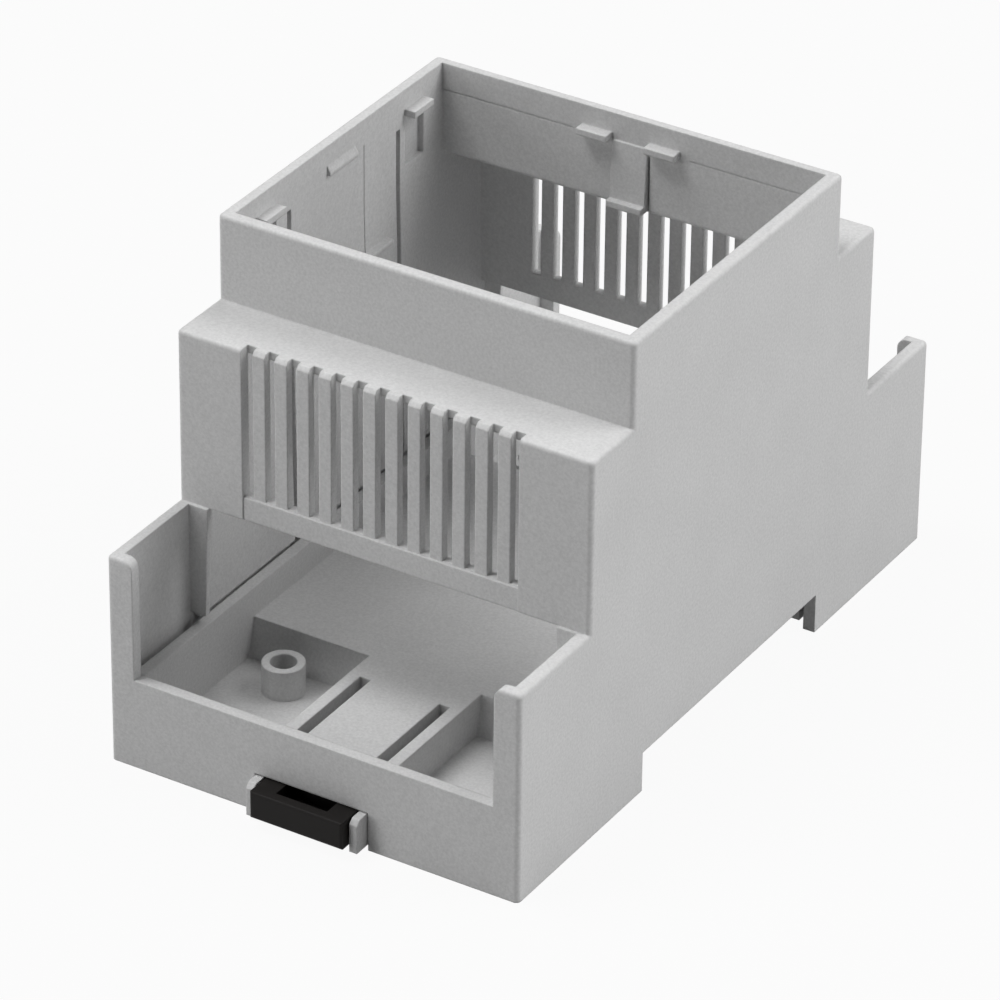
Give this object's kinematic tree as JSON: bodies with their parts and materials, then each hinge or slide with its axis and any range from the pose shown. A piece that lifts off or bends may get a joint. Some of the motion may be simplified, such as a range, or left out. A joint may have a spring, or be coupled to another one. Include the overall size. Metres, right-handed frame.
{
  "type": "din rail enclosure",
  "caption": "Vented DIN rail module housing, open at the top and above both terminal bays, on a snap-in base tray with rail claws and a sliding spring latch.",
  "frame": {"origin": "on the plane that rests on the mounting rail, half way along the rail's direction and on the rail's centre line", "axes": "+X along the rail, -Y towards the latch, +Z away from the rail towards the open nose"},
  "size_m": [0.053, 0.0932, 0.0585],
  "materials": {
    "housing": "fine moulded texture, light grey",
    "base_tray": "fine moulded texture, light grey",
    "rail_latch": "smooth moulded, black"
  },
  "bodies": {
    "enclosure": {"housing": "housing", "base_tray": "base_tray"},
    "latch": {"rail_latch": "rail_latch"}
  },
  "joints": [
    {"name": "rail_latch_slide", "type": "slide", "parent": "enclosure", "child": "latch", "axis": [0, -1, 0], "range_m": [0, 0.0032], "stiffness_N_per_m": 800, "springref_m": -0.002}
  ]
}
